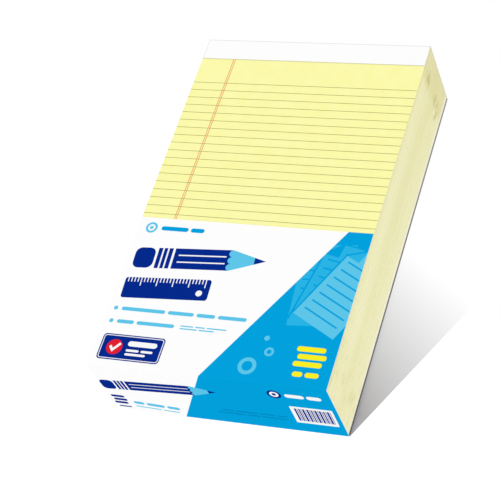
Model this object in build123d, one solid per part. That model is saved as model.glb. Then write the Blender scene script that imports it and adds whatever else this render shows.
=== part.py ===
from build123d import *
import os

# A pack of legal pads lying on its back. Each pad is a block of ruled sheets on a chipboard back,
# wire stitched near the head and closed by a paper tape that is folded over the head. A printed card
# is creased over the foot of the pack, and a thick board lies under it.
# Millimetres. The origin is the middle of the pack's underside. +Y points to the head, +Z is up.

# Sheets, cut to legal size
page_width = 215.9
page_length = 355.6
pads_in_pack = 12
sheets_per_pad = 50
sheet_thickness = 0.1

# Chipboard back of one pad
board_thickness = 0.7

# Paper tape folded over the head
tape_thickness = 0.12
tape_front_reach = 22.2
tape_back_reach = 20.0

# Below the tape the sheets loosen from their pinched height over this length
loosening_length = 34.0

# Flat wire stitches through the sheets and the board, under the tape
stitches_per_pad = 4
wire_thickness = 0.5
wire_width = 0.8
crown_width = 13.0
clinch_length = 5.0
stitch_from_head = 11.0
stitch_from_side = 31.0
wire_clearance = 0.05

# Printed card creased over the foot
card_thickness = 0.45
card_front_reach = 151.0
card_above_floor = 0.6

# Stiff board under the pack
backing_thickness = 3.0

# How far a cutting shape runs past what it cuts
overrun = 1.0

# Heights in one pad, counted from the outside of its tape behind the board
pinched_height = sheets_per_pad * sheet_thickness
pad_pitch = tape_thickness + board_thickness + pinched_height + tape_thickness
loose_height = pad_pitch - board_thickness
board_bottom = tape_thickness
sheets_bottom = board_bottom + board_thickness
stitch_height = board_thickness + pinched_height

# The pack's overall length decides where its two ends lie
overall_length = card_thickness + page_length + tape_thickness
foot_y = card_thickness - overall_length / 2
head_y = foot_y + page_length
binding_y = head_y - max(tape_front_reach, tape_back_reach)
loose_y = binding_y - loosening_length
pack_top = backing_thickness + pads_in_pack * pad_pitch + tape_thickness


def across_the_page(outline):
    """A profile drawn along the page and upwards, stretched over the page's width."""
    return extrude(outline, amount=page_width / 2, both=True)


def stitch_places():
    """The middle of each stitch, evenly spread between the two outer ones."""
    step = (page_width - 2 * stitch_from_side) / (stitches_per_pad - 1)
    middle = (0, head_y - stitch_from_head, board_bottom + stitch_height / 2)
    with Locations(middle):
        return GridLocations(step, 0, stitches_per_pad, 1).locations


def stitch():
    """One wire stitch: a crisp crown, two legs, and ends bent over and clinched towards each other."""
    crown_gap = crown_width - 2 * clinch_length
    with BuildPart() as wire:
        with BuildSketch(Plane.XZ):
            Rectangle(crown_width, stitch_height)
            fillet(vertices().group_by(Axis.Y)[0], radius=wire_thickness)
            Rectangle(
                crown_width - 2 * wire_thickness,
                stitch_height - 2 * wire_thickness,
                mode=Mode.SUBTRACT,
            )
            with Locations((0, -stitch_height / 2)):
                Rectangle(crown_gap, 2 * wire_thickness, mode=Mode.SUBTRACT)
        extrude(amount=wire_width / 2, both=True)
    return wire.part


def stitch_bed():
    """The two leg holes of a stitch, with the grooves that its crown and its ends sink into."""
    with BuildPart() as bed:
        with BuildSketch(Plane.XZ):
            Rectangle(crown_width + 2 * wire_clearance, stitch_height + 2 * overrun)
            Rectangle(
                crown_width - 2 * wire_thickness - 2 * wire_clearance,
                stitch_height - 2 * wire_thickness,
                mode=Mode.SUBTRACT,
            )
        extrude(amount=wire_width / 2 + wire_clearance, both=True)
    return bed.part


def pad_sheets():
    """The block of sheets: thin where the binding pinches it, thicker in an easy curve below."""
    top_pinched = sheets_bottom + pinched_height
    top_loose = sheets_bottom + loose_height
    half_way = ((binding_y + loose_y) / 2, (top_pinched + top_loose) / 2)
    with BuildSketch(Plane.YZ) as outline:
        with BuildLine():
            Polyline((foot_y, sheets_bottom), (head_y, sheets_bottom), (head_y, top_pinched))
            flat = Line((head_y, top_pinched), (binding_y, top_pinched))
            rise = TangentArc(flat @ 1, half_way, tangent=flat % 1)
            TangentArc(rise @ 1, (loose_y, top_loose), tangent=rise % 1)
            Polyline((loose_y, top_loose), (foot_y, top_loose), (foot_y, sheets_bottom))
        make_face()
    return across_the_page(outline.sketch)


def pad_board():
    """The chipboard back, cut flush with the sheets."""
    with BuildSketch(Plane.YZ) as outline:
        with Locations((foot_y, board_bottom)):
            Rectangle(page_length, board_thickness, align=(Align.MIN, Align.MIN))
    return across_the_page(outline.sketch)


def pad_binding():
    """The tape: front strip, turn over the head with crisp rounded folds, and back strip."""
    head_out = head_y + tape_thickness
    with BuildSketch(Plane.YZ) as outline:
        with BuildLine():
            FilletPolyline(
                (head_y - tape_front_reach, pad_pitch),
                (head_out, pad_pitch),
                (head_out, 0),
                (head_y - tape_back_reach, 0),
                radius=tape_thickness,
            )
            Polyline(
                (head_y - tape_back_reach, 0),
                (head_y - tape_back_reach, tape_thickness),
                (head_y, tape_thickness),
                (head_y, pad_pitch - tape_thickness),
                (head_y - tape_front_reach, pad_pitch - tape_thickness),
                (head_y - tape_front_reach, pad_pitch),
            )
        make_face()
    return across_the_page(outline.sketch)


def label_card():
    """The printed card: front panel, crease over the foot, and end panel down to the board."""
    foot_out = foot_y - card_thickness
    card_top = pack_top + card_thickness
    with BuildSketch(Plane.YZ) as outline:
        with BuildLine():
            FilletPolyline(
                (foot_y + card_front_reach, card_top),
                (foot_out, card_top),
                (foot_out, card_above_floor),
                radius=card_thickness,
            )
            Polyline(
                (foot_out, card_above_floor),
                (foot_y, card_above_floor),
                (foot_y, pack_top),
                (foot_y + card_front_reach, pack_top),
                (foot_y + card_front_reach, card_top),
            )
        make_face()
    return across_the_page(outline.sketch)


def backing_board():
    """The thick board under the pack, as large as a page."""
    with BuildSketch(Plane.YZ) as outline:
        with Locations((foot_y, 0)):
            Rectangle(page_length, backing_thickness, align=(Align.MIN, Align.MIN))
    return across_the_page(outline.sketch)


def pad_pieces():
    """The four pieces of one pad, as they lie with the outside of its back tape at height zero."""
    beds = [place * stitch_bed() for place in stitch_places()]
    return {
        "sheets": pad_sheets() - beds,
        "board": pad_board() - beds,
        "binding": pad_binding(),
        "stitches": Compound([place * stitch() for place in stitch_places()]),
    }


def write(piece, name):
    """One file for one named piece."""
    piece.label = name
    export_step(piece, f"parts/{name}.step")


os.makedirs("parts", exist_ok=True)
pieces = pad_pieces()
for number in range(pads_in_pack):
    lift = Pos(0, 0, backing_thickness + number * pad_pitch)
    for kind, piece in pieces.items():
        write(lift * piece, f"pad_{number + 1:02d}_{kind}")
write(label_card(), "label_card")
write(backing_board(), "backing_board")
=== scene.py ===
import math
import random

import bpy
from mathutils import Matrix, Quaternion, Vector
from mathutils.geometry import delaunay_2d_cdt


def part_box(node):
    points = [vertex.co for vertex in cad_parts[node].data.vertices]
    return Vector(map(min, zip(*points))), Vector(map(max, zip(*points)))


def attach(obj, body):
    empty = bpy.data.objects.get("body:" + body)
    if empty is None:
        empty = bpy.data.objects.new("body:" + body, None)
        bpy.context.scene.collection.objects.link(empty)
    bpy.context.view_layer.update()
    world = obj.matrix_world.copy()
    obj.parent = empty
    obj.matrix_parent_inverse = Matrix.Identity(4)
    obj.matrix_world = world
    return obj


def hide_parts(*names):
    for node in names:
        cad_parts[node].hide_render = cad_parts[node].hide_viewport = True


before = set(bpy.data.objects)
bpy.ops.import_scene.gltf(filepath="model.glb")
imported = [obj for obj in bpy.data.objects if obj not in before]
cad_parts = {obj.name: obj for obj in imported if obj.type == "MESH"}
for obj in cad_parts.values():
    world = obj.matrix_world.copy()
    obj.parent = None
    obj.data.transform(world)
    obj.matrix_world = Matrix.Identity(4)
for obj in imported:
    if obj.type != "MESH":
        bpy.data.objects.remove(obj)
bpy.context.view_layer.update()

# A pack of legal pads on a stiff board, with a printed card creased over its foot.
# Objects are in metres. Flat cuts and prints are drawn in millimetres and then laid in place.
# The origin is the middle of the underside, +Y points to the taped heads and +Z is up.
mm = 0.001
pads = sorted(name.removesuffix("_sheets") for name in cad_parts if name.endswith("_sheets"))
page_low, page_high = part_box(f"{pads[-1]}_sheets")
tape_low, tape_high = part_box(f"{pads[-1]}_binding")
wire_low, wire_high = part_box(f"{pads[-1]}_stitches")
card_low, card_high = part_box("label_card")
page_width = (page_high.x - page_low.x) / mm
page_length = (page_high.y - page_low.y) / mm
page_top = page_high.z / mm
head_y = page_high.y
foot_y = page_low.y

# Sheets
sheets_in_pad = 50
air_share = 0.04
loosening_length = 34.0
loosening_steps = 8
pad_slack = 0.1
sheet_slack = 0.02
slack_seed = 14

# Print on a sheet
rule_pitch = 8.73
rules_on_page = 35
top_rule_from_foot = 304.5
rule_weight = 0.52
margin_places = (31.5, 33.2)
margin_weight = 0.68
# Painted shadow of the tape's edge on the sheet
painted_shadow_width = 0.5
perforation_below_tape = 0.8
perforation_pitch = 1.0
perforation_cut = 0.7
perforation_weight = 0.12

# Cut edges of the sheets. A shade starts at its first place and is full at its second.
# Painted shade of the pinched heads under the tape, counted from the head
pinch_painted_shade_from_head = (34, 26)
# Painted shade by the tape's turned fold, counted from the head
painted_fold_shade_from_head = (1.6, 0)
foot_shade_from_foot = (75, 25)
top_shade_under_face = (5, 1)
# Painted light that the floor throws on the lowest sheets
painted_floor_light_from_floor = (8, 5)
dull_pads_from_floor = 34
dull_pads_reach = 13

# Painted shade of the gaps between the pinched pads, as dark strokes on the cut edges: how far from the
# head and from the floor, and how long and high
gap_shade_places = ((25, 58, 12, 9), (29, 24, 13, 13))

# Tape
tape_thickness = (tape_high.y - head_y) / mm
tape_front_reach = (head_y - tape_low.y) / mm
tape_back_reach = 20.0
# Painted shade along the tape's folds and its cut ends
fold_shade_width = 0.8
end_shade_width = 0.35
stitches_in_pad = 4
crown_width = 13.0
crown_rise = 0.09
crown_spread = 1.0
crown_contour_shares = (1.0, 0.75, 0.5, 0.25, 0.05)

# Card
card_thickness = (foot_y - card_low.y) / mm
card_front_reach = (card_high.y - foot_y) / mm
print_margin = 0.1
field_top = 193.8
field_crease = 104.2
field_hem = 67.8

# A skin is a little thinner than its solid, so that it doesn't lie in the face under it
skin_share = 0.96

# A flat sheet is cut into triangles inside its outline, with points this close taken as one
inside_outline = 1
same_point = 0.0001

# Gloss of a finish, as the shader's specular level
dead_matt = 0.0
uncoated = 0.1
coated = 0.2

# Camera, in metres and degrees, with its sensor and lens in millimetres
camera_stand = Vector((0.5987, -0.8054, 1.2382))
camera_aim = Vector((-0.0155, -0.0281, 0.0374))
camera_roll = -26.77
camera_sensor = 36
camera_lens = 128.37

# Light, in degrees. Both lamps shine from over the foot end's left corner
lamp_heading = Vector((0.477, 0.879, 0))
pack_lamp_strength = 0.31
pack_lamp_elevation = 37
pack_lamp_softness = 20
floor_lamp_strength = 13.0
floor_lamp_elevation = 22
floor_lamp_softness = 0.4
sky_strength = 0.93

# Floor, with the way that its shadow fades, in metres
floor_reach = 4.0
floor_tone = (0.495, 0.495, 0.56, 1)
floor_glow = 0.86
fading_heading = (0.573, 0.819)
fading_end = 0.07
fading_length = 0.134


class Value:
    """A number that varies over a surface. Arithmetic on it adds Math nodes."""

    def __init__(self, nodes, socket):
        self.nodes = nodes
        self.socket = socket

    def maths(self, operation, first, second):
        return self.nodes.node("ShaderNodeMath", {0: first, 1: second}, operation=operation)

    def __add__(self, other):
        return self.maths("ADD", self, other)

    def __radd__(self, other):
        return self.maths("ADD", other, self)

    def __sub__(self, other):
        return self.maths("SUBTRACT", self, other)

    def __rsub__(self, other):
        return self.maths("SUBTRACT", other, self)

    def __mul__(self, other):
        return self.maths("MULTIPLY", self, other)

    def __rmul__(self, other):
        return self.maths("MULTIPLY", other, self)

    def __truediv__(self, other):
        return self.maths("DIVIDE", self, other)

    def __or__(self, other):
        return self.maths("MAXIMUM", self, other)

    def clamped(self):
        """The value, held between 0 and 1."""
        return self.nodes.node("ShaderNodeClamp", {"Value": self})

    def fading(self, start, full):
        """0 where the value is at the start, 1 where it is full, and even between."""
        return ((self - start) / (full - start)).clamped()

    def spots(self, limit, steepness):
        """1 where the value is well over a limit, or well under it if the steepness is negative."""
        return ((self - limit) * steepness).clamped()


class Nodes:
    """Adds nodes to one node tree."""

    def __init__(self, tree):
        self.tree = tree

    def node(self, kind, inputs, output=0, **settings):
        """A node of a kind, with its settings, and the values or links of its sockets."""
        made = self.tree.nodes.new(kind)
        for name, setting in settings.items():
            setattr(made, name, setting)
        for name, value in inputs.items():
            self.feed(made.inputs[name], value)
        return Value(self, made.outputs[output])

    def feed(self, socket, value):
        """A socket takes a varying value as a link and a constant as its own value."""
        if isinstance(value, Value):
            self.tree.links.new(value.socket, socket)
        else:
            socket.default_value = value

    def blend(self, share, first, second):
        """The first colour where the share is 0, and the second where it is 1."""
        return self.node("ShaderNodeMix", {0: share, 6: first, 7: second}, output=2, data_type="RGBA")

    def place(self):
        """The place on the object, in metres."""
        return self.node("ShaderNodeTexCoord", {}, output="Object")

    def axis(self, name):
        """How far along X, Y or Z a point lies, in metres."""
        return self.node("ShaderNodeSeparateXYZ", {0: self.place()}, output=name)

    def grain(self, spots, detail=2.0, seed=0.0):
        """Soft noise from 0 to 1, with spots of a size in millimetres along X, Y and Z."""
        scale = tuple(1 / (size * mm) for size in spots)
        stretched = self.node("ShaderNodeMapping", {"Vector": self.place(), "Scale": scale})
        inputs = {"Vector": stretched, "W": seed, "Scale": 1.0, "Detail": detail}
        return self.node("ShaderNodeTexNoise", inputs, noise_dimensions="4D")

    def in_view(self):
        """1 for what the camera sees, straight, in a gloss or through glass, and 0 for other light."""
        straight, gloss, glass = [
            self.node("ShaderNodeLightPath", {}, output=ray)
            for ray in ("Is Camera Ray", "Is Glossy Ray", "Is Transmission Ray")
        ]
        return straight | gloss | glass


class Finish(Nodes):
    """A material around one Principled shader. Constants are named as the shader's sockets are."""

    def __init__(self, name, constants):
        self.material = bpy.data.materials.new(name)
        self.material.use_nodes = True
        super().__init__(self.material.node_tree)
        self.shader = self.tree.nodes["Principled BSDF"]
        for socket, value in constants.items():
            self.set(socket, value)

    def set(self, socket, value):
        self.feed(self.shader.inputs[socket], value)

    def relief(self, height, depth, strength=1.0):
        """Bump from a height between 0 and 1 that stands for a depth in millimetres."""
        inputs = {"Height": height, "Distance": depth * mm, "Strength": strength}
        self.set("Normal", self.node("ShaderNodeBump", inputs, output="Normal"))


def ink(red, green, blue):
    """A colour from 0 to 255 as it is printed, in the linear numbers that a shader takes."""
    linear = []
    for channel in (red, green, blue):
        share = channel / 255
        linear.append(((share + 0.055) / 1.055) ** 2.4 if share > 0.04045 else share / 12.92)
    return (*linear, 1.0)


def writing_paper():
    """Uncoated yellow stock with faint clouds, a fine felt of fibres and a few stray darker ones."""
    paper = Finish("yellow_writing_paper", {"Specular IOR Level": uncoated})
    clouds = paper.grain((9, 14, 9))
    fibres = paper.grain((0.15, 0.7, 0.15), detail=3)
    strays = paper.grain((0.5, 2.2, 0.5), detail=1, seed=4.0)
    tone = (clouds * 0.7 + fibres * 0.9 - 0.3).clamped()
    colour = paper.blend(tone, ink(251, 246, 158), ink(255, 255, 184))
    paper.set("Base Color", paper.blend(strays.spots(0.68, 8) * 0.3, colour, ink(214, 204, 120)))
    paper.set("Roughness", 0.8 + fibres * 0.15)
    paper.relief(fibres, 0.02, 0.6)
    return paper


def line_ink(name, weak, strong):
    """Thin ruling ink that the paper's fibres break up a little."""
    line = Finish(name, {"Specular IOR Level": uncoated, "Roughness": 0.85})
    line.set("Base Color", line.blend(line.grain((0.2, 0.2, 0.2)), strong, weak))
    return line


def cut_edge():
    """The trimmed edges of the sheets, in soft bands that follow the cut."""
    edge = Finish("trimmed_sheet_edges", {"Specular IOR Level": uncoated, "Roughness": 0.9})
    from_head = (head_y - edge.axis("Y")) / mm
    from_floor = edge.axis("Z") / mm
    right_side = (edge.axis("X") / mm).fading(0, page_width / 2)

    # Bands and single sheets, with painted light that makes them paler towards the foot, and dull in the
    # middle pads
    streaks = edge.grain((3, 28, 2.6), detail=3)
    sheets = edge.grain((20, 45, 0.24), detail=2, seed=5.0)
    bands = edge.grain((60, 320, 13), detail=1, seed=3.0)
    from_middle = (from_floor - dull_pads_from_floor) / dull_pads_reach
    dull_pads = (1 - from_middle * from_middle).clamped()
    tone = streaks * 0.55 + bands + sheets * 0.8 + from_head / page_length * 0.45
    tone = (tone - dull_pads * 0.3 - 0.75).clamped()
    colour = edge.blend(tone, ink(242, 237, 182), ink(255, 253, 212))

    # Painted shade at the pinched heads under the tape, a darker tone on the top sheets, and painted light
    # from the floor on the lowest sheets
    painted_pinch_shade = from_head.fading(*pinch_painted_shade_from_head)
    top_sheets = (page_top - from_floor).fading(*top_shade_under_face)
    painted_floor_light = from_floor.fading(*painted_floor_light_from_floor)
    colour = edge.blend(painted_pinch_shade * 0.5, colour, ink(228, 218, 154))
    colour = edge.blend(top_sheets * 0.4, colour, ink(232, 220, 174))
    # Painted light from the floor on the lowest sheets
    colour = edge.blend(painted_floor_light * 0.9, colour, ink(255, 254, 240))

    # Painted shade of the gaps between the pinched pads, as dark strokes near the head, on the right side
    # only
    painted_gap_shade = 0.0
    for along, up, length, height in gap_shade_places:
        sideways = (from_head - along) / length
        upwards = (from_floor - up) / height
        painted_gap_shade = painted_gap_shade + (1 - sideways * sideways - upwards * upwards).clamped()
    strokes = edge.grain((3, 15, 2.0), detail=1, seed=7.0)
    painted_gap_strokes = (painted_gap_shade * right_side * strokes.spots(0.47, 8) * 1.1).clamped()
    colour = edge.blend(painted_gap_strokes, colour, ink(190, 178, 98))

    # A deeper tone at the foot, with dull and pale patches on the right side
    near_foot = (page_length - from_head).fading(*foot_shade_from_foot)
    colour = edge.blend(near_foot * 0.22, colour, ink(240, 230, 166))
    patches = edge.grain((3, 16, 6), detail=3, seed=11.0)
    foot_patches_and_shade_fade = near_foot * right_side
    colour = edge.blend(patches.spots(0.52, 6) * foot_patches_and_shade_fade * 0.65, colour, ink(222, 212, 152))
    colour = edge.blend(patches.spots(0.46, -6) * foot_patches_and_shade_fade * 0.5, colour, ink(255, 252, 230))

    # Painted shade on the sheet edges right by the tape's turned fold at the head
    painted_fold_shade = from_head.fading(*painted_fold_shade_from_head)
    edge.set("Base Color", edge.blend(painted_fold_shade * 0.8, colour, ink(214, 213, 200)))
    edge.relief(sheets, 0.04, 0.6)
    return edge


def tape_edge_painted_shadow():
    """The sheet's strip along the tape's edge, painted darker as the shadow of the tape's edge."""
    strip = Finish("tape_edge_painted_shadow", {"Specular IOR Level": uncoated, "Roughness": 0.9})
    shadow_mottle = strip.grain((6, 0.3, 0.3))
    strip.set("Base Color", strip.blend(shadow_mottle, ink(192, 188, 138), ink(214, 210, 156)))
    return strip


def perforation():
    """The small cuts that let a sheet be torn off, drawn in painted shade as dark slits."""
    slit_shade = Finish("perforation_slit_shade", {"Specular IOR Level": dead_matt, "Roughness": 1.0})
    fibres = slit_shade.grain((0.3, 0.3, 0.3))
    slit_shade.set("Base Color", slit_shade.blend(fibres, ink(150, 143, 92), ink(186, 180, 118)))
    return slit_shade


def tape_paper():
    """Smooth white binding paper with a faint laid grain across the head."""
    paper = Finish("white_binding_paper", {"Specular IOR Level": coated})
    grain = paper.grain((2.5, 0.3, 0.3), detail=3)
    paper.set("Base Color", paper.blend(grain, ink(253, 253, 253), ink(255, 255, 255)))
    paper.set("Roughness", 0.55 + grain * 0.2)
    paper.relief(grain, 0.03, 0.6)
    return paper


def tape_fold_shade():
    """Painted shade on the tape at its folds and its cut ends, in a mottled grey."""
    painted_tape_shade = Finish("tape_fold_painted_shade", {"Specular IOR Level": uncoated, "Roughness": 0.8})
    fold_shade_mottle = painted_tape_shade.grain((0.6, 0.15, 0.15), detail=4)
    painted_tape_shade.set("Base Color", painted_tape_shade.blend(fold_shade_mottle, ink(194, 194, 201), ink(228, 228, 233)))
    return painted_tape_shade


def card_stock():
    """Coated white card with a satin face."""
    card = Finish("coated_white_card", {"Specular IOR Level": coated})
    mottle = card.grain((1.2, 1.2, 1.2), detail=3)
    card.set("Base Color", card.blend(mottle, ink(254, 254, 254), ink(255, 255, 255)))
    card.set("Roughness", 0.42 + mottle * 0.12)
    card.relief(mottle, 0.015, 0.5)
    return card


def card_core():
    """The cut edge and the uncoated back of the card."""
    core = Finish("card_edge_and_back", {"Specular IOR Level": uncoated, "Roughness": 0.9})
    fibres = core.grain((0.4, 0.4, 0.1), detail=4)
    core.set("Base Color", core.blend(fibres, ink(238, 238, 234), ink(253, 253, 251)))
    return core


def card_ink(name, red, green, blue):
    """Solid ink on the card, a shade thinner in fine specks."""
    solid = Finish(name, {"Specular IOR Level": dead_matt})
    mottle = solid.grain((0.5, 0.5, 0.5), detail=3)
    thin = [min(255, channel + 4) for channel in (red, green, blue)]
    solid.set("Base Color", solid.blend(mottle, ink(red, green, blue), ink(*thin)))
    solid.set("Roughness", 0.38 + mottle * 0.14)
    return solid


class CardInks:
    """The inks that the card is printed with."""

    def __init__(self):
        self.white = card_ink("white_of_card", 248, 248, 248)
        self.blue = card_ink("field_blue", 0, 160, 220)
        self.mid = card_ink("middle_blue", 40, 178, 228)
        self.pale = card_ink("pale_blue", 92, 197, 232)
        self.deep = card_ink("deep_blue", 0, 125, 185)
        self.navy = card_ink("navy", 3, 40, 138)
        self.yellow = card_ink("yellow", 250, 238, 32)
        self.red = card_ink("red", 222, 30, 50)


def pad_chipboard():
    """Pale chipboard, pressed from short fibres."""
    board = Finish("pale_chipboard", {"Specular IOR Level": uncoated, "Roughness": 0.92})
    fibres = board.grain((0.3, 1.2, 0.12), detail=4)
    clouds = board.grain((12, 12, 12), seed=2.0)
    tone = (fibres * 0.8 + clouds * 0.4 - 0.1).clamped()
    board.set("Base Color", board.blend(tone, ink(238, 232, 188), ink(253, 250, 216)))
    board.relief(fibres, 0.03, 0.5)
    return board


def grey_board():
    """Dark grey board under the pack, its edge with painted shade that is deepest at the foot and fades
    paler towards the head.
    """
    board = Finish("dark_grey_board", {"Specular IOR Level": uncoated, "Roughness": 0.95})
    fibres = board.grain((0.4, 1.6, 0.3), detail=4)
    # Painted shade on the board's edge, deepest at the foot beside the floor's shadow
    foot_patches_and_shade_fade = board.axis("Y").fading(foot_y, head_y)
    dark = board.blend(fibres, ink(84, 78, 80), ink(106, 99, 98))
    pale = board.blend(fibres, ink(138, 134, 136), ink(160, 156, 156))
    board.set("Base Color", board.blend(foot_patches_and_shade_fade, dark, pale))
    board.relief(fibres, 0.05, 0.5)
    return board


def stitching_wire():
    """Drawn steel wire with a zinc coat."""
    wire = Finish("zinc_coated_wire", {"Metallic": 1.0})
    drawn = wire.grain((0.8, 0.05, 0.3), detail=3)
    wire.set("Base Color", wire.blend(drawn, ink(168, 170, 174), ink(206, 208, 212)))
    wire.set("Roughness", 0.3 + drawn * 0.2)
    wire.relief(drawn, 0.01, 0.5)
    return wire


def bar(left, bottom, width, height):
    """A rectangle."""
    right, top = left + width, bottom + height
    return [(left, bottom), (right, bottom), (right, top), (left, top)]


def arc(x, y, radius, start, end, steps):
    """Points on a circle from one angle to another, in degrees."""
    angles = [math.radians(start + (end - start) * step / steps) for step in range(steps + 1)]
    return [(x + radius * math.cos(angle), y + radius * math.sin(angle)) for angle in angles]


def disc(x, y, radius, steps=28):
    """A full circle."""
    return arc(x, y, radius, 0, 360 - 360 / steps, steps - 1)


def rounded(left, bottom, width, height, radius, steps=5):
    """A rectangle whose corners are quarter circles."""
    right, top = left + width, bottom + height
    corners = ((right, bottom, -90), (right, top, 0), (left, top, 90), (left, bottom, 180))
    outline = []
    for x, y, start in corners:
        inward = -radius if x == right else radius
        upward = radius if y == bottom else -radius
        outline += arc(x + inward, y + upward, radius, start, start + 90, steps)
    return outline


def placed(prints, x, y, degrees=0.0):
    """Prints turned about their own zero point and moved."""
    turn = math.radians(degrees)
    cosine, sine = math.cos(turn), math.sin(turn)
    moved = []
    for finish, outline in prints:
        turned = [(x + cosine * right - sine * up, y + sine * right + cosine * up) for right, up in outline]
        moved.append((finish, turned))
    return moved


def trimmed(prints, start, end):
    """What lies to the left of a straight cut from one point to another."""
    along = (end[0] - start[0], end[1] - start[1])
    kept = []
    for finish, outline in prints:
        sides = [along[0] * (y - start[1]) - along[1] * (x - start[0]) for x, y in outline]
        inside = []
        for number, (x, y) in enumerate(outline):
            following = (number + 1) % len(outline)
            if sides[number] >= 0:
                inside.append((x, y))
            if sides[number] * sides[following] < 0:
                share = sides[number] / (sides[number] - sides[following])
                next_x, next_y = outline[following]
                inside.append((x + (next_x - x) * share, y + (next_y - y) * share))
        if len(inside) > 2:
            kept.append((finish, inside))
    return kept


class Way:
    """How a sheet runs in side view: straight runs joined by quarter turns, always away from its face."""

    def __init__(self, start, heading, runs, radius):
        self.start = start
        self.heading = heading
        self.runs = runs
        self.radius = radius
        self.turn = math.pi / 2 * radius

    def length(self):
        return sum(self.runs) + self.turn * (len(self.runs) - 1)

    def bends(self, steps=5):
        """The distances from the first edge at which the sheet bends."""
        found = []
        reached = 0
        for run in self.runs[:-1]:
            reached += run
            found += [reached + self.turn * step / steps for step in range(steps + 1)]
            reached += self.turn
        return found

    def at(self, along):
        """The place and the outward direction at a distance from the first edge."""
        place, heading, outward = self.start, self.heading, Vector((0, 0, 1))
        for run in self.runs:
            straight = min(along, run)
            place = place + heading * straight * mm
            along -= straight
            angle = min(along, self.turn) / self.radius
            centre = place - outward * self.radius * mm
            ahead = heading * math.cos(angle) - outward * math.sin(angle)
            outward = outward * math.cos(angle) + heading * math.sin(angle)
            heading = ahead
            place = centre + outward * self.radius * mm
            along = max(0, along - self.turn)
        return place, outward


class Piece:
    """Corners and faces gathered for one object, with a finish for each face."""

    def __init__(self):
        self.corners = []
        self.faces = []
        self.finishes = []
        self.slots = []

    def add(self, first, faces, finish):
        """Faces whose corners count from a corner that is already there."""
        if finish not in self.finishes:
            self.finishes.append(finish)
        self.faces += [[first + corner for corner in face] for face in faces]
        self.slots += [self.finishes.index(finish)] * len(faces)

    def add_sheet(self, outline, prints, creases, lay, thickness, face, back, edge):
        """A closed sheet, cut and printed flat and then laid in place.

        Prints are pairs of a finish and an outline, painted one over the other. Creases are lines that the
        sheet bends along. lay gives a flat point's place and the outward direction there.
        """
        shapes = [(face, outline), *prints]
        points = []
        rings = []
        for _, shape in shapes:
            rings.append(list(range(len(points), len(points) + len(shape))))
            points += shape
        lines = []
        for crease in creases:
            lines.append((len(points), len(points) + 1))
            points += crease
        flat, _, triangles, _, _, covers = delaunay_2d_cdt(
            [Vector(point) for point in points], lines, rings, inside_outline, same_point, True
        )
        first = len(self.corners)
        for point in flat:
            place, outward = lay(*point)
            self.corners += [place, place - outward * thickness * mm]
        painted = {}
        for triangle, cover in zip(triangles, covers):
            finish = shapes[max(cover)][0]
            painted.setdefault(finish, []).append([2 * corner for corner in triangle])
        for finish, faces in painted.items():
            self.add(first, faces, finish)
        undersides = [[2 * corner + 1 for corner in reversed(triangle)] for triangle in triangles]
        self.add(first, undersides, back)
        sides = {(start, end) for triangle in triangles for start, end in around(triangle)}
        rim = sorted((start, end) for start, end in sides if (end, start) not in sides)
        self.add(first, [[2 * start, 2 * start + 1, 2 * end + 1, 2 * end] for start, end in rim], edge)

    def stand_for(self, node, name):
        """The finished object, in place of a solid."""
        mesh = bpy.data.meshes.new(name)
        mesh.from_pydata(self.corners, [], self.faces)
        for finish in self.finishes:
            mesh.materials.append(finish.material)
        mesh.polygons.foreach_set("material_index", self.slots)
        mesh.update()
        piece = bpy.data.objects.new(name, mesh)
        bpy.context.scene.collection.objects.link(piece)
        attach(piece, "root")
        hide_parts(node)
        return piece


def around(ring):
    """The sides of a face, as pairs of corners."""
    return zip(ring, ring[1:] + ring[:1])


def loosened(y):
    """How far the sheets have risen from their pinched height, from 0 at the tape to 1 below the curve."""
    share = min(1, max(0, (tape_low.y - y) / (loosening_length * mm)))
    return 2 * share**2 if share < 0.5 else 1 - 2 * (1 - share) ** 2


def curve_places():
    """The places along the page between which its sheets are straight."""
    step_length = loosening_length * mm / loosening_steps
    curve = [tape_low.y - step_length * step for step in range(loosening_steps + 1)]
    return [foot_y, *reversed(curve), head_y]


def page_prints(rule, margin, tape_edge_shadow, slit_shade):
    """The ruling of a sheet, and the painted shadow of the tape's edge and the perforation below the tape.
    """
    head = page_length - tape_front_reach
    prints = []
    for number in range(rules_on_page):
        middle = top_rule_from_foot - number * rule_pitch
        prints.append((rule, bar(0, middle - rule_weight / 2, page_width, rule_weight)))
    for place in margin_places:
        prints.append((margin, bar(place - margin_weight / 2, 0, margin_weight, head)))
    prints.append((tape_edge_shadow, bar(0, head - painted_shadow_width, page_width, painted_shadow_width)))
    cuts_in_line = int(page_width / perforation_pitch)
    spare = (page_width - cuts_in_line * perforation_pitch + perforation_pitch - perforation_cut) / 2
    cut_line = head - perforation_below_tape
    for number in range(cuts_in_line):
        left = spare + number * perforation_pitch
        prints.append((slit_shade, bar(left, cut_line, perforation_cut, perforation_weight)))
    return prints


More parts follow.
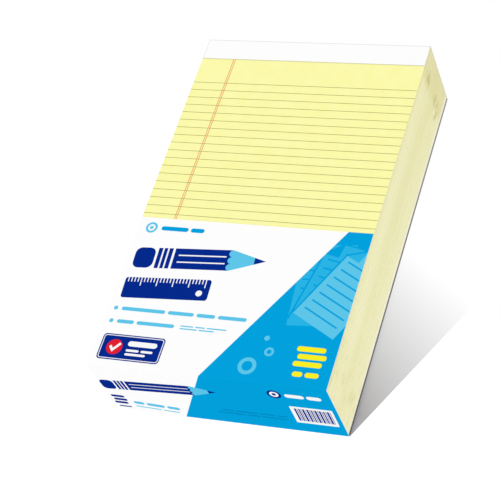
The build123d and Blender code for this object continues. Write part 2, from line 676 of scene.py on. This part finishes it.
def pad_sheets(pad, chance, paper, edge, prints):
    """The sheets of one pad, each its own leaf, with the print on the top one."""
    low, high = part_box(f"{pad}_sheets")
    loose = high.z - low.z
    pinched = tape_high.z - tape_thickness * mm - page_low.z
    stations = curve_places()
    runs = range(len(stations) - 1)
    last = 4 * len(runs)

    def height(y):
        """How high the whole block is at a place along the page."""
        return pinched + (loose - pinched) * loosened(y)

    def lay(u, v):
        y = foot_y + v * mm
        return Vector((low.x + u * mm, y, low.z + height(y))), Vector((0, 0, 1))

    block = Piece()
    set_back = chance.uniform(0, pad_slack)
    for number in range(sheets_in_pad - 1):
        left = low.x + (set_back + chance.uniform(0, sheet_slack)) * mm
        right = high.x - (pad_slack - set_back + chance.uniform(0, sheet_slack)) * mm
        foot = foot_y + chance.uniform(0, sheet_slack) * mm
        first = len(block.corners)
        # Four corners at each place, from the lower left one round to the upper left one
        for y in stations:
            pitch = height(y) / sheets_in_pad
            under = low.z + pitch * number
            over = under + pitch * (1 - air_share)
            back = max(y, foot)
            block.corners += [
                Vector((left, back, under)),
                Vector((right, back, under)),
                Vector((right, back, over)),
                Vector((left, back, over)),
            ]
        for start, end, finish in ((0, 1, paper), (2, 3, paper), (1, 2, edge), (3, 0, edge)):
            side = (start, start + 4, end + 4, end)
            block.add(first, [[4 * run + corner for corner in side] for run in runs], finish)
        block.add(first, [[0, 1, 2, 3], [last + 3, last + 2, last + 1, last]], edge)
    creases = []
    for y in stations[1:-1]:
        from_foot = (y - foot_y) / mm
        creases.append([(0, from_foot), (page_width, from_foot)])
    outline = bar(0, 0, page_width, page_length)
    thickness = loose / sheets_in_pad * (1 - air_share) / mm
    block.add_sheet(outline, prints, creases, lay, thickness, paper, paper, edge)
    return block.stand_for(f"{pad}_sheets", f"{pad}_ruled_sheets")


def crown_places():
    """The middles of the stitches' crowns, counted from the page's left edge."""
    outer = (wire_low.x - page_low.x) / mm + crown_width / 2
    step = (page_width - 2 * outer) / (stitches_in_pad - 1)
    return [outer + number * step for number in range(stitches_in_pad)]


def pad_tape(pad, paper, painted_tape_shade):
    """The paper tape of one pad, folded over its head, with the top pad's stitches as faint ridges."""
    low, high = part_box(f"{pad}_binding")
    height = (high.z - low.z) / mm
    runs = (tape_front_reach, height - 2 * tape_thickness, tape_back_reach)
    way = Way(Vector((0, low.y, high.z)), Vector((0, 1, 0)), runs, tape_thickness)
    crown_at = tape_front_reach - (head_y - (wire_low.y + wire_high.y) / 2) / mm
    half_crown = crown_width / 2
    crowns = crown_places() if pad == pads[-1] else []

    def lay(u, v):
        place, outward = way.at(v)
        rise = 0
        for middle in crowns:
            beside = max(0, abs(u - middle) - half_crown)
            apart = math.hypot(beside, v - crown_at)
            rise = max(rise, 1 - apart / crown_spread)
        rise = crown_rise * rise * rise * (3 - 2 * rise)
        return Vector((low.x + u * mm, place.y, place.z)) + outward * rise * mm, outward

    creases = [[(0, bend), (page_width, bend)] for bend in way.bends()]
    prints = []
    # Painted shade along both folds and the cut ends
    for fold in (runs[0], runs[0] + way.turn + runs[1]):
        strip = bar(0, fold - fold_shade_width / 2, page_width, way.turn + fold_shade_width)
        prints.append((painted_tape_shade, strip))
    for end in (0, page_width - end_shade_width):
        prints.append((painted_tape_shade, bar(end, 0, end_shade_width, way.length())))
    for middle in crowns:
        for share in crown_contour_shares:
            reach = crown_spread * share
            left = middle - half_crown - reach
            ridge = rounded(left, crown_at - reach, crown_width + 2 * reach, 2 * reach, reach)
            prints.append((paper, ridge))
    tape = Piece()
    outline = bar(0, 0, page_width, way.length())
    tape.add_sheet(outline, prints, creases, lay, tape_thickness * skin_share, paper, paper, painted_tape_shade)
    return tape.stand_for(f"{pad}_binding", f"{pad}_head_tape")


def pencil(length, width, body, gaps, wood):
    """A pencil from the side, its rubber at zero and its point to the right."""
    ferrule = width
    groove = 0.07 * width
    barrel = 1.75 * width
    shoulder = length - 1.5 * width
    lead = length - 0.5 * width
    facet = width / 3
    scallops = []
    for number in range(3):
        scallops += arc(shoulder, facet * (2.5 - number), facet / 2, 90, 270, 6)
    prints = [
        (body, rounded(0, 0, 0.9 * width, width, 0.28 * width)),
        (body, bar(ferrule, 0, 0.65 * width, width)),
        (gaps, bar(ferrule + 0.18 * width, 0, groove, width)),
        (gaps, bar(ferrule + 0.4 * width, 0, groove, width)),
        (body, bar(barrel, 0, shoulder - barrel, width)),
        (wood, [*scallops, (length, width / 2)]),
        (body, [(lead, facet), (length, width / 2), (lead, 2 * facet)]),
    ]
    line_start = barrel + 0.2 * width
    line_length = shoulder - barrel - 0.45 * width
    line_weight = 0.06 * width
    for number in (1, 2):
        line = bar(line_start, facet * number - line_weight / 2, line_length, line_weight)
        prints.append((gaps, line))
    return prints


def ruler(length, width, body, gaps):
    """A ruler with even ticks along its upper edge and a hole to hang it by."""
    pitch = width / 7
    tick_weight = 0.045 * width
    prints = [(body, rounded(0, 0, length, width, 0.12 * width))]
    for number in range(1, int(length / pitch)):
        tick = (0.4 if number % 5 == 0 else 0.22) * width
        prints.append((gaps, bar(number * pitch - 0.02 * width, width - tick, tick_weight, tick)))
    prints.append((gaps, disc(length - 0.42 * width, 0.34 * width, 0.14 * width)))
    return prints


def rings(x, y, bands):
    """Discs about one centre, painted one over the other."""
    return [(finish, disc(x, y, radius)) for finish, radius in bands]


def stack_sign(width, height, body, leaves):
    """A small sign of leaves lying on each other, each set a little aside."""
    pitch = height / leaves
    shift = 0.08 * width
    return [
        (body, rounded(shift * (number % 2), pitch * number, width - shift, 0.68 * pitch, 0.3 * pitch))
        for number in range(leaves)
    ]


def words(finish, left, bottom, height, lengths, gap=1.8):
    """A line of print stood for by bars of differing length."""
    prints = []
    for length in lengths:
        prints.append((finish, rounded(left, bottom, length, height, height / 2)))
        left += length + gap
    return prints


def uprights(finish, left, bottom, height, weights, gap):
    """A row of upright bars of differing weight."""
    prints = []
    for weight in weights:
        prints.append((finish, bar(left, bottom, weight, height)))
        left += weight + gap
    return prints


def leaf_sign(width, height, body, lines, corner, rules=8):
    """A ruled leaf with a turned corner, standing on the middle of its lower edge."""
    half, turned, inset = width / 2, width * 0.28, width * 0.1
    fold = [(turned - half, height), (-half, height - turned)]
    prints = [(body, [(-half, 0), (half, 0), (half, height), *fold])]
    pitch = height / (rules + 1)
    for number in range(1, rules + 1):
        start = inset - half + (turned if number == rules else 0)
        prints.append((lines, bar(start, pitch * number, half - inset - start, 0.17 * pitch)))
    prints.append((corner, [*fold, (turned - half, height - turned)]))
    return prints


def fan_of_leaves(inks, width, height, gap):
    """Three ruled leaves fanned out, the front one palest, with a gap of ground colour round each."""
    blue = inks.blue
    prints = []
    for body, corner, turned in ((inks.mid, blue, 4), (inks.mid, blue, -12), (inks.pale, inks.mid, -28)):
        ground = leaf_sign(width + 2 * gap, height + gap, blue, blue, blue)
        leaf = leaf_sign(width, height, body, blue, corner)
        prints += placed(ground[:1] + leaf, 0, 0, turned)
    return prints


def badge(inks, width, height):
    """A badge with a double border, a tick in a disc, and lines of words beside it."""
    prints = []
    for finish, inset, radius in ((inks.navy, 0, 3.2), (inks.white, 1.1, 2.4), (inks.navy, 1.8, 1.9)):
        prints.append((finish, rounded(inset, inset, width - 2 * inset, height - 2 * inset, radius)))
    tick = [(8.6, 12.6), (12.4, 7.6), (19.2, 15.6), (17.4, 17.1), (12.5, 11.2), (10.3, 14.2)]
    prints.append((inks.red, disc(13.5, 12.5, radius=7.4)))
    prints.append((inks.white, tick))
    prints += words(inks.white, left=25, bottom=14.4, height=5, lengths=(27,))
    prints += words(inks.white, left=25, bottom=9.2, height=2.2, lengths=(12, 11))
    prints += words(inks.white, left=25, bottom=5.4, height=2.2, lengths=(19,))
    return prints


def front_prints(inks):
    """The print of the card's front panel, counted up from the crease."""
    big_pencil = pencil(length=122, width=21, body=inks.navy, gaps=inks.white, wood=inks.pale)
    big_ruler = ruler(length=80, width=21, body=inks.navy, gaps=inks.white)
    fan = placed(fan_of_leaves(inks, width=46, height=80, gap=1.6), x=188, y=57)
    prints = rings(13.5, 140.5, ((inks.pale, 5.6), (inks.white, 3.5), (inks.pale, 1.7)))
    prints += words(inks.blue, left=23, bottom=138.4, height=4.4, lengths=(26, 13), gap=2.2)
    prints += placed(big_pencil, x=8.2, y=98, degrees=3)
    prints += placed(big_ruler, x=8.4, y=67, degrees=3)
    for y, lengths in ((56.4, (41, 24, 17, 26)), (43.6, (16, 35))):
        prints.append((inks.pale, disc(8.6, y, radius=2, steps=16)))
        prints += words(inks.pale, left=14, bottom=y - 1.8, height=3.6, lengths=lengths, gap=2.6)
    prints += words(inks.pale, left=73, bottom=44.2, height=1.2, lengths=(12, 9, 18), gap=1.6)
    prints += words(inks.pale, left=73, bottom=41.6, height=1.2, lengths=(16, 14), gap=1.6)
    prints += placed(badge(inks, width=58, height=25), x=7, y=6)
    prints += trimmed(fan, (field_top, card_front_reach), (field_crease, 0))
    prints += rings(143, 14, ((inks.pale, 8.0), (inks.blue, 4.6)))
    prints += rings(158, 29, ((inks.pale, 4.2), (inks.blue, 2.0)))
    prints.append((inks.pale, disc(152.5, 41.5, radius=2.4, steps=18)))
    prints += placed(stack_sign(width=27, height=21, body=inks.yellow, leaves=3), x=181, y=18.5)
    prints += words(inks.yellow, left=183, bottom=9, height=4.6, lengths=(9, 12), gap=2)
    return prints


def end_prints(inks):
    """The print of the card's end panel, counted down from the crease."""
    small_pencil = pencil(length=110, width=14.5, body=inks.navy, gaps=inks.white, wood=inks.pale)
    broad_words = words(inks.pale, left=0, bottom=0, height=4.4, lengths=(10, 17, 12), gap=2)
    thin_words = words(inks.pale, left=0, bottom=0, height=1.6, lengths=(24, 15))
    prints = placed(small_pencil, x=2.5, y=-40, degrees=4)
    prints += placed(stack_sign(width=14, height=16, body=inks.navy, leaves=3), x=4, y=-64)
    prints += words(inks.navy, left=6, bottom=-69.4, height=2, lengths=(12,))
    prints += placed(broad_words, x=23, y=-61.5, degrees=-4)
    prints += placed(thin_words, x=23, y=-66.5, degrees=-4)
    prints += rings(166, -16.5, ((inks.navy, 6.2), (inks.white, 4.0), (inks.navy, 1.9)))
    prints += words(inks.white, left=175, bottom=-19.5, height=5.4, lengths=(17, 13), gap=2)
    prints.append((inks.white, rounded(left=174, bottom=-60, width=37.5, height=26.5, radius=1.2)))
    weights = 3 * (1.7, 0.7, 1.2, 0.6, 1.8, 0.6)
    prints += uprights(inks.navy, left=177.4, bottom=-56.5, height=20, weights=weights, gap=0.7)
    prints += words(inks.deep, left=108, bottom=-54, height=1.4, lengths=(11, 20, 14, 9))
    prints += words(inks.deep, left=104, bottom=-58.5, height=1.4, lengths=(24, 12, 22))
    return prints


def creased_card(stock, core, inks):
    """The printed card, from its front panel over the crease and down the foot end."""
    drop = (card_high.z - card_low.z) / mm - card_thickness
    runs = (card_front_reach, drop)
    way = Way(Vector((0, card_high.y, card_high.z)), Vector((0, -1, 0)), runs, card_thickness)
    hem = card_front_reach - way.length()
    limit = page_width - print_margin

    def lay(u, v):
        place, outward = way.at(card_front_reach - v)
        return Vector((page_low.x + u * mm, place.y, place.z)), outward

    bends = [card_front_reach - bend for bend in way.bends()]
    creases = [[(0, bend), (page_width, bend)] for bend in bends]
    field = [
        (field_hem, hem),
        (limit, hem),
        (limit, card_front_reach),
        (field_top, card_front_reach),
        (field_crease, 0),
    ]
    signs = front_prints(inks) + end_prints(inks)
    prints = [(inks.blue, field)] + trimmed(signs, (limit, hem), (limit, card_front_reach))
    card = Piece()
    outline = bar(0, hem, page_width, way.length())
    card.add_sheet(outline, prints, creases, lay, card_thickness * skin_share, stock, core, core)
    return card.stand_for("label_card", "creased_label_card")


def dress(node, finish):
    """A solid keeps its shape and takes a finish."""
    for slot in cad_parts[node].material_slots:
        slot.material = finish.material


def camera():
    """The photograph's viewing angle, above the foot end and to the reader's right."""
    data = bpy.data.cameras.new("camera")
    data.sensor_width = camera_sensor
    data.lens = camera_lens
    seat = bpy.data.objects.new("camera", data)
    upright = (camera_aim - camera_stand).to_track_quat("-Z", "Y")
    seat.location = camera_stand
    seat.rotation_mode = "QUATERNION"
    seat.rotation_quaternion = upright @ Quaternion((0, 0, 1), math.radians(camera_roll))
    bpy.context.scene.collection.objects.link(seat)
    bpy.context.scene.camera = seat


def sun(name, strength, elevation, softness):
    """A lamp at an elevation in degrees, with a softness in degrees."""
    data = bpy.data.lights.new(name, "SUN")
    data.energy = strength
    data.angle = math.radians(softness)
    lamp = bpy.data.objects.new(name, data)
    height = math.radians(elevation)
    rays = lamp_heading * math.cos(height) - Vector((0, 0, math.sin(height)))
    lamp.rotation_mode = "QUATERNION"
    lamp.rotation_quaternion = rays.to_track_quat("-Z", "Y")
    bpy.context.scene.collection.objects.link(lamp)
    return lamp


def floor():
    """A white sweep. The camera sees it paper white, and it takes the shadow beside the foot end."""
    mesh = bpy.data.meshes.new("floor")
    corners = [(x, y, 0) for x, y in bar(-floor_reach, -floor_reach, 2 * floor_reach, 2 * floor_reach)]
    mesh.from_pydata(corners, [], [(0, 1, 2, 3)])
    sweep = bpy.data.objects.new("floor", mesh)
    bpy.context.scene.collection.objects.link(sweep)
    finish = Finish("floor", {})
    finish.tree.nodes.remove(finish.shader)
    away = finish.axis("X") * fading_heading[0] + finish.axis("Y") * fading_heading[1]
    near_foot = away.fading(fading_end, fading_end - fading_length)
    bright = finish.node("ShaderNodeEmission", {"Strength": 1.0})
    shaded = finish.node("ShaderNodeBsdfDiffuse", {"Color": floor_tone})
    pale = finish.node("ShaderNodeEmission", {"Strength": floor_glow})
    shown = finish.node("ShaderNodeMixShader", {0: near_foot, 1: bright, 2: shaded})
    surface = finish.node("ShaderNodeMixShader", {0: finish.in_view(), 1: pale, 2: shown})
    finish.feed(finish.tree.nodes["Material Output"].inputs["Surface"], surface)
    mesh.materials.append(finish.material)
    return sweep


def surroundings():
    """Even white light from all round, paper white where the camera sees it."""
    world = bpy.data.worlds.new("surroundings")
    world.use_nodes = True
    bpy.context.scene.world = world
    nodes = Nodes(world.node_tree)
    nodes.tree.nodes.remove(nodes.tree.nodes["Background"])
    light = nodes.node("ShaderNodeBackground", {"Color": (1, 1, 1, 1), "Strength": sky_strength})
    white = nodes.node("ShaderNodeBackground", {"Color": (1, 1, 1, 1), "Strength": 1.0})
    sky = nodes.node("ShaderNodeMixShader", {0: nodes.in_view(), 1: light, 2: white})
    nodes.feed(nodes.tree.nodes["World Output"].inputs["Surface"], sky)


def studio():
    """The floor, the even light, a soft lamp for the pack and a low lamp that only the floor takes."""
    sweep = floor()
    surroundings()
    sun("pack_lamp", pack_lamp_strength, pack_lamp_elevation, pack_lamp_softness)
    low_lamp = sun("floor_lamp", floor_lamp_strength, floor_lamp_elevation, floor_lamp_softness)
    only_floor = bpy.data.collections.new("lit_by_floor_lamp")
    only_floor.objects.link(sweep)
    low_lamp.light_linking.receiver_collection = only_floor


camera()
paper = writing_paper()
edge = cut_edge()
rule_ink = line_ink("rule_ink", ink(158, 160, 84), ink(136, 138, 70))
margin_ink = line_ink("margin_ink", ink(236, 158, 100), ink(224, 134, 82))
prints = page_prints(rule_ink, margin_ink, tape_edge_painted_shadow(), perforation())
tape = tape_paper()
painted_tape_shade = tape_fold_shade()
chipboard = pad_chipboard()
wire = stitching_wire()
chance = random.Random(slack_seed)
for pad in pads:
    pad_sheets(pad, chance, paper, edge, prints)
    pad_tape(pad, tape, painted_tape_shade)
    dress(f"{pad}_board", chipboard)
    dress(f"{pad}_stitches", wire)
dress("backing_board", grey_board())
creased_card(card_stock(), card_core(), CardInks())
studio()
bpy.context.scene.view_settings.view_transform = "Standard"
